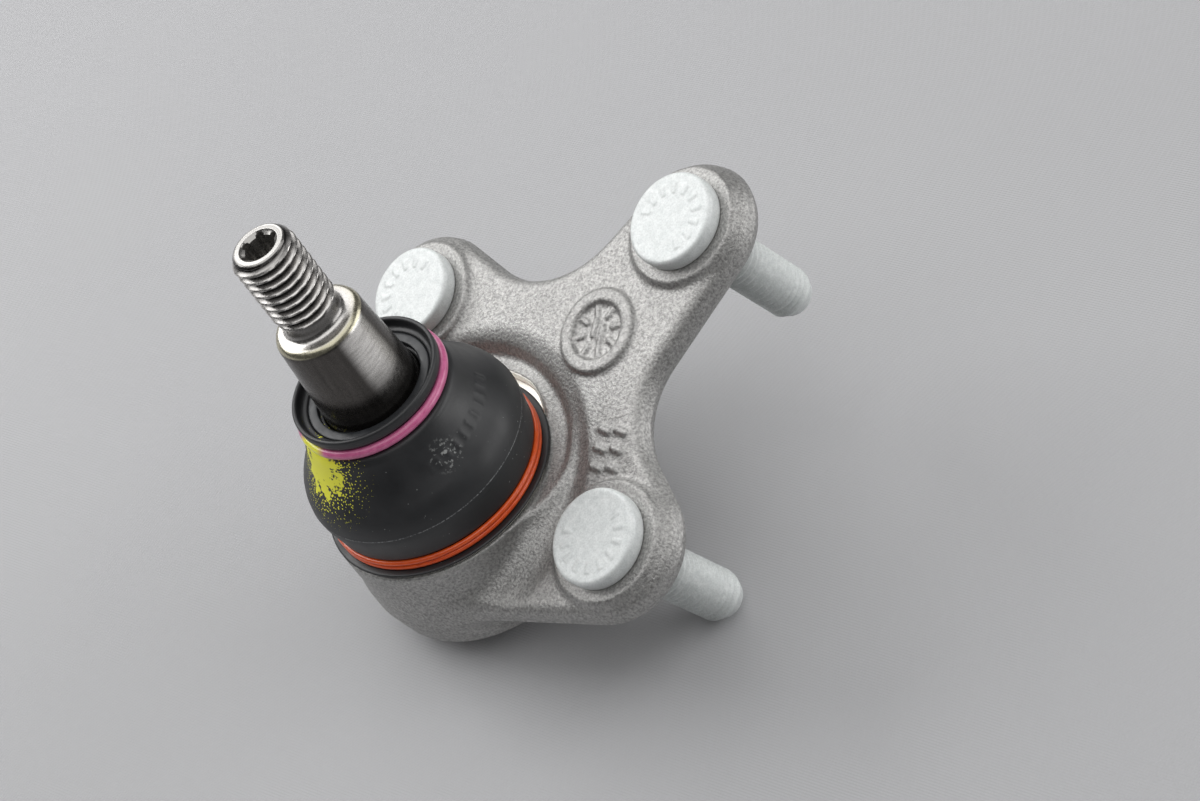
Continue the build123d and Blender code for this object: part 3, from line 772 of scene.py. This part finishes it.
def smooth_path(corners, closeness):
    """Points along a closed outline, at an even step, after its corners have been softened twice by
    cutting each side at a quarter and three quarters (Chaikin's rule)."""
    path = np.array(corners)
    for _ in range(2):
        ahead = np.roll(path, -1, axis=0)
        path = np.stack([path * 0.75 + ahead * 0.25, path * 0.25 + ahead * 0.75], axis=1)
        path = path.reshape(-1, 2)
    ends = np.vstack([path, path[:1]])
    travel = np.concatenate([[0], np.cumsum(np.hypot(*np.diff(ends, axis=0).T))])
    stops = np.linspace(0, travel[-1], int(travel[-1] / closeness), endpoint=False)
    return np.stack([np.interp(stops, travel, ends[:, axis]) for axis in (0, 1)], axis=-1)


def boot_shape():
    """The boot's closed section turned about the stud's axis. The outside bulges a little at the
    parting line and at a row of short moulded ticks, and waves slowly as soft rubber does."""
    section = smooth_path(boot_outer + boot_inner, boot_step)
    angle = np.arange(boot_columns) * 2 * math.pi / boot_columns
    radius = np.repeat(section[:, :1], boot_columns, axis=1)
    height = np.repeat(section[:, 1:], boot_columns, axis=1)
    slope = np.roll(section, -1, axis=0) - np.roll(section, 1, axis=0)
    outward = np.stack([slope[:, 1], -slope[:, 0]], axis=-1) / np.hypot(*slope.T)[:, None]
    reach, level = section[:, :1], section[:, 1:]
    outside = reach > np.interp(level, *zip(*wall_middle))
    outside &= (level > wall_start) & (level < wall_end)
    lift = parting_line_rise * np.exp(-((level - parting_line) / parting_line_width) ** 2)
    turn = np.degrees(angle)
    in_row = (turn > tick_first) & (turn < tick_last)
    in_row = in_row & (np.abs(level - tick_height) < tick_reach / 2)
    tick = np.clip(1.5 - np.abs((turn / tick_pitch) % 1 - 0.5) * 6, 0, 1)
    wave = two_lobed_wave * np.sin(2 * angle + 0.6) + five_lobed_wave * np.sin(5 * angle)
    push = (lift + tick_rise * tick * in_row + wave * eased(level, wave_start, wave_full)) * outside
    return turned_shape(radius + push * outward[:, :1], height + push * outward[:, 1:], True)


def sprayed_rubber():
    """Black chloroprene: dull, with a bloom of wax, pale dust on the parting line, a few flecks, a
    pale patch on the ticks that is partly a scuff and partly a painted highlight on their edges,
    and yellow-green lacquer that thins from a solid patch to separate droplets."""
    material = new_material("moulded_chloroprene")
    place = add_node(material, "Attribute", own_place, "Vector")
    level = add_node(material, "SeparateXYZ", {}, "Z", Vector=place)
    bloom = add_node(material, "TexNoise", {}, Vector=place, Scale=0.16, Detail=4.0)
    skin = add_node(material, "TexNoise", {}, Vector=place, Scale=3.0, Detail=3.0)
    black = add_node(
        material, "Mix", of_colours, Factor=bloom, in6=linear("#191A1C"), in7=linear("#2E2F31"))

    above_line = add_node(material, "Math", {"operation": "SUBTRACT"}, in0=level, in1=parting_line)
    off_line = add_node(material, "Math", {"operation": "ABSOLUTE"}, in0=above_line)
    on_line = add_node(
        material, "MapRange", {}, Value=off_line, From_Min=0.05, From_Max=0.16, To_Min=1.0,
        To_Max=0.0)
    worn = add_node(material, "MapRange", {}, Value=skin, From_Min=0.38, From_Max=0.62)
    dusty = add_node(material, "Math", multiply, in0=on_line, in1=worn)
    marked = add_node(material, "Mix", of_colours, Factor=dusty, in6=black, in7=linear("#8B8D8E"))

    spot = add_node(material, "TexVoronoi", {}, Vector=place, Scale=0.75, Randomness=1.0)
    fleck = add_node(
        material, "MapRange", {}, Value=spot, From_Min=0.07, From_Max=0.1, To_Min=0.55, To_Max=0.0)
    dust_field = add_node(material, "TexNoise", {}, Vector=place, Scale=0.12, Detail=1.0)
    dust_where = add_node(material, "MapRange", {}, Value=dust_field, From_Min=0.52, From_Max=0.62)
    flecks = add_node(material, "Math", multiply, in0=fleck, in1=dust_where)
    grain = add_node(material, "TexNoise", {}, Vector=place, Scale=1.5, Detail=6.0)
    broken = add_node(material, "MapRange", {}, Value=grain, From_Min=0.56, From_Max=0.62)
    # Pale patch on the moulded ticks: part scuff, part painted highlight on the ticks' edges.
    from_scuff_and_highlight = add_node(
        material, "VectorMath", {"operation": "DISTANCE"}, in0=place, in1=scuff_and_highlight_middle)
    near_scuff_and_highlight = add_node(
        material, "MapRange", {}, Value=from_scuff_and_highlight, From_Min=1.0, From_Max=3.6, To_Min=0.8,
        To_Max=0.0)
    scuff_and_highlight = add_node(material, "Math", multiply, in0=broken, in1=near_scuff_and_highlight)
    pale = add_node(material, "Math", {"operation": "MAXIMUM"}, in0=flecks, in1=scuff_and_highlight)
    flecked = add_node(material, "Mix", of_colours, Factor=pale, in6=marked, in7=linear("#A9ABA9"))

    from_patch = add_node(
        material, "VectorMath", {"operation": "DISTANCE"}, in0=place, in1=spray_middle)
    edge = add_node(material, "TexNoise", {}, Vector=place, Scale=0.55, Detail=5.0)
    ragged = add_node(
        material, "MapRange", {}, Value=edge, From_Min=0.3, From_Max=0.7, To_Min=-2.6, To_Max=2.6)
    worked = add_node(material, "Math", {"operation": "ADD"}, in0=from_patch, in1=ragged)
    solid = add_node(
        material, "MapRange", {}, Value=worked, From_Min=4.5, From_Max=5.0, To_Min=1.0, To_Max=0.0)
    drop = add_node(material, "TexVoronoi", {}, Vector=place, Scale=2.1, Randomness=1.0)
    reach = add_node(
        material, "MapRange", {}, Value=from_patch, From_Min=3.8, From_Max=13.0, To_Min=0.5,
        To_Max=0.0)
    below_rim = add_node(
        material, "MapRange", {}, Value=level, From_Min=34.5, From_Max=36.0, To_Min=1.0,
        To_Max=0.25)
    size = add_node(material, "Math", multiply, in0=reach, in1=below_rim)
    wet = add_node(material, "Math", {"operation": "LESS_THAN"}, in0=drop, in1=size)
    spray = add_node(material, "Math", {"operation": "MAXIMUM"}, in0=solid, in1=wet)
    colour = add_node(material, "Mix", of_colours, Factor=spray, in6=flecked, in7=linear("#F2F03C"))
    rough = add_node(
        material, "MapRange", {}, Value=bloom, From_Min=0.3, From_Max=0.7, To_Min=0.38, To_Max=0.54)
    bump = add_node(material, "Bump", {}, Strength=0.15, Distance=0.00004, Height=skin)
    return surfaced(
        material, Base_Color=colour, Roughness=rough, Specular_IOR_Level=0.6, Normal=bump)


boot_rubber = sprayed_rubber()
boot_points, boot_faces = boot_shape()
boot = piece_from("boot_moulding", boot_points, boot_faces, socket_frame, boot_rubber)
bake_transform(boot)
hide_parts("dust_boot")

# --- mouth ring ------------------------------------------------------------------------------
# Stiff nylon ring moulded into the boot's mouth, where it slides on the stud's taper.
# Dark grey and smooth, a little lighter than the rubber round it.

mouth_inner, mouth_outer, mouth_bottom, mouth_top = 10.15, 12.0, 34.6, 35.8
mouth_edge, mouth_step = 0.2, 0.15


def ring_section(inner, outer, bottom, top, edge):
    """Closed outline of a flat ring with its four edges eased."""
    return [
        (inner + edge, bottom), (outer - edge, bottom), (outer, bottom + edge), (outer, top - edge),
        (outer - edge, top), (inner + edge, top), (inner, top - edge), (inner, bottom + edge)]


def filled_nylon():
    """Glass-filled nylon: dark grey, with a faint flow pattern of some 2 mm in its gloss."""
    material = new_material("glass_filled_nylon")
    place = add_node(material, "Attribute", own_place, "Vector")
    flow = add_node(material, "TexNoise", {}, Vector=place, Scale=0.5, Detail=4.0)
    gloss = add_node(
        material, "MapRange", {}, Value=flow, From_Min=0.3, From_Max=0.7, To_Min=0.3, To_Max=0.5)
    tone = add_node(
        material, "Mix", of_colours, Factor=flow, in6=linear("#222426"), in7=linear("#35373A"))
    return surfaced(material, Base_Color=tone, Roughness=gloss)


mouth_section = smooth_path(
    ring_section(mouth_inner, mouth_outer, mouth_bottom, mouth_top, mouth_edge), mouth_step)
mouth_points, mouth_faces = turned_shape(
    np.repeat(mouth_section[:, :1], boot_columns, axis=1),
    np.repeat(mouth_section[:, 1:], boot_columns, axis=1), True)
mouth_ring = piece_from(
    "mouth_ring_moulding", mouth_points, mouth_faces, socket_frame, filled_nylon())
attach(mouth_ring, "boot_collar")
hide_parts("boot_mouth_ring")

# --- clamp rings -----------------------------------------------------------------------------
# Spring wire with a coloured lacquer that tells the two apart: one turn of pink round the mouth,
# two turns of orange round the base, whose wire steps from the first turn to the second.

upper_ring_radius, upper_ring_height, upper_wire = 13.95, 34.3, 0.95
lower_ring_radius, lower_first, lower_wire = 20.72, 10.33, 0.54
upper_start, upper_stop, upper_rows = math.radians(120), math.radians(474), 330
lower_start, lower_step, lower_gap, lower_rows = math.radians(130), 0.42, 0.12, 900
wire_columns, dome_rows, dome_tip = 20, 5, 0.02
ring_spray_middle = (-15.2, 2.6, 34.0)


def lacquered_wire(name, body, shade, sprayed):
    """Dipped lacquer on drawn wire: glossy, and a shade darker where it ran thin."""
    material = new_material(name)
    place = add_node(material, "Attribute", own_place, "Vector")
    thin = add_node(material, "TexNoise", {}, Vector=place, Scale=0.9, Detail=5.0)
    run = add_node(material, "MapRange", {}, Value=thin, From_Min=0.35, From_Max=0.65)
    tone = add_node(material, "Mix", of_colours, Factor=run, in6=linear(shade), in7=linear(body))
    if sprayed:
        reach = add_node(
            material, "VectorMath", {"operation": "DISTANCE"}, in0=place, in1=ring_spray_middle)
        mask = add_node(
            material, "MapRange", {}, Value=reach, From_Min=2.5, From_Max=4.4, To_Min=1.0,
            To_Max=0.0)
        tone = add_node(material, "Mix", of_colours, Factor=mask, in6=tone, in7=linear("#F2F03C"))
    return surfaced(
        material, Base_Color=tone, Roughness=0.32, Coat_Weight=0.6, Coat_Roughness=0.12)


def wire_shape(ring_radius, heights, angles, wire):
    """A round wire along an arc about Z: at each angle a circle of the wire's radius, in the plane
    of the axis. Each end closes with a dome, whose circles shrink as its arc runs out."""
    over = (1 - np.cos(np.linspace(0, math.pi / 2, dome_rows + 1)))[1:]
    step = wire / ring_radius
    before, after = angles[0] - (over[::-1] * step), angles[-1] + over * step
    swell = np.concatenate([np.sqrt(np.maximum(1 - over[::-1] ** 2, 0)), np.ones(len(angles)),
                            np.sqrt(np.maximum(1 - over ** 2, 0))])
    swell[0] = swell[-1] = dome_tip
    turn = np.concatenate([before, angles, after])[:, None]
    level = np.concatenate([heights[:1].repeat(dome_rows), heights, heights[-1:].repeat(dome_rows)])
    around = (np.arange(wire_columns) * 2 * math.pi / wire_columns)[None]
    radius = ring_radius + wire * swell[:, None] * np.cos(around)
    points = np.stack([
        radius * np.cos(turn), radius * np.sin(turn),
        level[:, None] + wire * swell[:, None] * np.sin(around)], axis=-1).reshape(-1, 3)
    rows = len(turn)
    faces = [face[::-1] for face in ring_faces(rows, wire_columns, False).tolist()]
    faces.append(list(range(wire_columns)))
    faces.append(list(range((rows - 1) * wire_columns, rows * wire_columns))[::-1])
    return points, faces


upper_angles = np.linspace(upper_start, upper_stop, upper_rows)
upper_points, upper_faces = wire_shape(
    upper_ring_radius, np.full(len(upper_angles), upper_ring_height), upper_angles, upper_wire)
upper_ring = piece_from(
    "upper_wire_ring", upper_points, upper_faces, socket_frame,
    lacquered_wire("pink_wire_lacquer", "#DA74A2", "#C9608F", True))
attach(upper_ring, "boot_collar")
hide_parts("upper_clamp_ring")

lower_angles = np.linspace(0, 4 * math.pi - lower_step - lower_gap, lower_rows)
lower_heights = lower_first + 2 * lower_wire * eased(
    lower_angles, 2 * math.pi - lower_step, 2 * math.pi - 0.02)
lower_points, lower_faces = wire_shape(
    lower_ring_radius, lower_heights, lower_angles + lower_start, lower_wire)
lower_ring = piece_from(
    "lower_wire_ring", lower_points, lower_faces, socket_frame,
    lacquered_wire("orange_wire_lacquer", "#F4611D", "#E65217", False))
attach(lower_ring, "socket_housing")
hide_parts("lower_clamp_ring")

# --- bolts -----------------------------------------------------------------------------------
# Three cold-headed M10 bolts, pressed into the ears from above and coated with zinc flake, which
# leaves them pale, matt and a little mottled. The head's flat top carries a ring of plain ticks.

head_radius, head_height, head_edge = 8.8, 3.3, 0.75
shank_radius = 5.4
bolt_thread_radius, bolt_thread_depth, bolt_pitch, bolt_thread_step = 4.93, 0.8, 1.5, 0.13
bolt_thread_start, bolt_end, point_length = -8.5, -36.75, 2.6
point_profile = [(0, 0), (2.6, 0), (3.55, 0), (3.85, 0.12), (4.0, 0.4), (4.03, 1.6)]
point_cylinder, point_slope = 1.7, 1.3
shank_profile = [
    (5.2, -7.2), (shank_radius, -6.9), (shank_radius, -0.05), (7.9, 0.0), (8.45, 0.03),
    (8.72, 0.25), (head_radius, 0.6), (head_radius, head_height - head_edge)]
tick_count, ticked_share, tick_circle, tick_half_length = 14, 0.68, 5.7, 1.2
head_tick_rise, head_dish = 0.14, 0.06
bolt_turns = (0.2, 0.55, 0.85)
bolt_columns = 144


def bolt_shape(turn):
    """One turned surface from the point's pole up the thread, shank and head to the top's pole.
    The dished top has low ticks at equal steps of its turn, on two thirds of a circle."""
    angle = (np.arange(bolt_columns) * 2 * math.pi / bolt_columns)[None]
    point = np.array(point_profile) + (0, bolt_end)
    thread_end = bolt_end + point_length - 0.6
    run = np.arange(thread_end, bolt_thread_start + 1.2, bolt_thread_step)[:, None]
    body = thread_radius(run, angle, bolt_thread_radius, bolt_thread_depth, bolt_pitch,
                         thread_end, bolt_thread_start + 0.4)
    beyond = np.maximum(run - bolt_end - point_cylinder, 0)
    threaded = np.minimum(body, point_profile[-1][0] + beyond * point_slope)
    bend = np.linspace(0, math.pi / 2, 6)[1:]
    corner = np.stack([head_radius - head_edge * (1 - np.cos(bend)),
                       head_height - head_edge * (1 - np.sin(bend))], axis=-1)
    side = np.concatenate([shank_profile, corner])
    reach = np.linspace(head_radius - head_edge - 0.2, 0, 42)[:, None]
    share = (angle / (2 * math.pi) + turn) % 1
    tick = np.clip(1.9 - np.abs((share * tick_count) % 1 - 0.5) * 8, 0, 1) * (share < ticked_share)
    band = np.clip((tick_half_length - np.abs(reach - tick_circle)) * 3.5, 0, 1)
    dish = head_dish * (1 - (reach / head_radius) ** 2)
    top = head_height + 0.02 - dish + head_tick_rise * tick * band
    radius = [point[:, :1] + 0 * angle, threaded, side[:, :1] + 0 * angle, reach + 0 * angle]
    height = [point[:, 1:] + 0 * angle, run + 0 * angle, side[:, 1:] + 0 * angle, top]
    return turned_shape(np.concatenate(radius), np.concatenate(height))


def zinc_flake():
    """Baked zinc-flake coat: pale grey-green, matt, with clouds of thicker coat about 1.5 mm wide
    and a fine sparkle of the flakes."""
    material = new_material("baked_zinc_flake")
    place = add_node(material, "Attribute", own_place, "Vector")
    cloud = add_node(material, "TexNoise", {}, Vector=place, Scale=0.7, Detail=5.0)
    flake = add_node(material, "TexNoise", {}, Vector=place, Scale=3.2, Detail=3.0)
    spread = add_node(material, "MapRange", {}, Value=cloud, From_Min=0.3, From_Max=0.7)
    tone = add_node(
        material, "Mix", of_colours, Factor=spread, in6=linear("#DCE0DF"), in7=linear("#ECEFEE"))
    shade = add_node(
        material, "MapRange", {}, Value=flake, From_Min=0.3, From_Max=0.7, To_Min=0.88, To_Max=1.08)
    colour = add_node(material, "VectorMath", {"operation": "SCALE"}, in0=tone, Scale=shade)
    bump = add_node(material, "Bump", {}, Strength=0.35, Distance=0.00008, Height=flake)
    return surfaced(material, Base_Color=colour, Metallic=0.2, Roughness=0.5, Normal=bump)


zinc = zinc_flake()
for (name, (place, _)), turn in zip(ears.items(), bolt_turns):
    bolt_points, bolt_faces = bolt_shape(turn)
    bolt_origin = flange_frame[0] + np.array((*place, 0)) @ flange_frame[1] * millimetre
    bolt = piece_from(
        f"{name}_bolt", bolt_points, bolt_faces, (bolt_origin, flange_frame[1]), zinc)
    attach(bolt, "socket_housing")
    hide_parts(f"bolt_{name}")

# --- floor and light -------------------------------------------------------------------------
# A sheet of pale grey vinyl with a fine woven emboss. A wide soft lamp hangs over the part, two
# smaller ones stand behind it and one at its right, and a little light comes from all round.

floor_half = 1.6
weave_pitch = 0.0008
lamps = {
    "overhead": ((-0.05, -0.06, 1.12), (1.6, 1.6), 10.4),
    "back_left": ((-0.60, 0.58, 0.56), (0.7, 0.55), 4.2),
    "back": ((-0.06, 0.85, 0.52), (0.8, 0.5), 2.2),
    "right": ((0.98, -0.10, 0.34), (1.1, 0.6), 4.8)}
even_light = 0.06


def embossed_vinyl():
    """Calendered vinyl: even grey, with an emboss whose real pitch of 0.3 mm is drawn at 0.8 mm,
    because a finer one doesn't show."""
    material = new_material("embossed_vinyl")
    place = add_node(material, "TexCoord", {}, "Object")
    east = add_node(material, "SeparateXYZ", {}, "X", Vector=place)
    waves = []
    for axis in ("X", "Y"):
        phase = add_node(
            material, "Math", multiply, in0=east.node.outputs[axis], in1=2 * math.pi / weave_pitch)
        waves.append(add_node(material, "Math", {"operation": "SINE"}, in0=phase))
    weave = add_node(material, "Math", multiply, in0=waves[0], in1=waves[1])
    drift = add_node(material, "TexNoise", {}, Vector=place, Scale=7.0, Detail=2.0)
    tone = add_node(
        material, "Mix", of_colours, Factor=drift, in6=linear("#B4B4B6"), in7=linear("#BBBBBD"))
    bump = add_node(material, "Bump", {}, Strength=0.35, Distance=0.0001, Height=weave)
    return surfaced(material, Base_Color=tone, Roughness=0.6, Normal=bump)


floor_mesh = bpy.data.meshes.new("floor")
floor_mesh.from_pydata([
    (x * floor_half, y * floor_half, 0) for x, y in ((-1, -1), (1, -1), (1, 1), (-1, 1))],
    [], [(0, 1, 2, 3)])
floor_mesh.materials.append(embossed_vinyl())
floor = bpy.data.objects.new("floor", floor_mesh)
bpy.context.scene.collection.objects.link(floor)


def add_lamp(name, place, size, power):
    """A rectangular area lamp that faces the part."""
    data = bpy.data.lights.new(name, "AREA")
    data.shape = "RECTANGLE"
    data.size, data.size_y = size
    data.energy = power
    lamp = bpy.data.objects.new(name, data)
    lamp.matrix_world = Matrix.Translation(place) @ (
        camera_aim - Vector(place)).to_track_quat("-Z", "Y").to_matrix().to_4x4()
    bpy.context.scene.collection.objects.link(lamp)


for name, (place, size, power) in lamps.items():
    add_lamp(name, place, size, power)
world = bpy.data.worlds.new("even_light")
bpy.context.scene.world = world
world.use_nodes = True
feed(world.node_tree.nodes["Background"], {"Color": (1, 1, 1, 1), "Strength": even_light})

bpy.context.scene.view_settings.view_transform = "Standard"
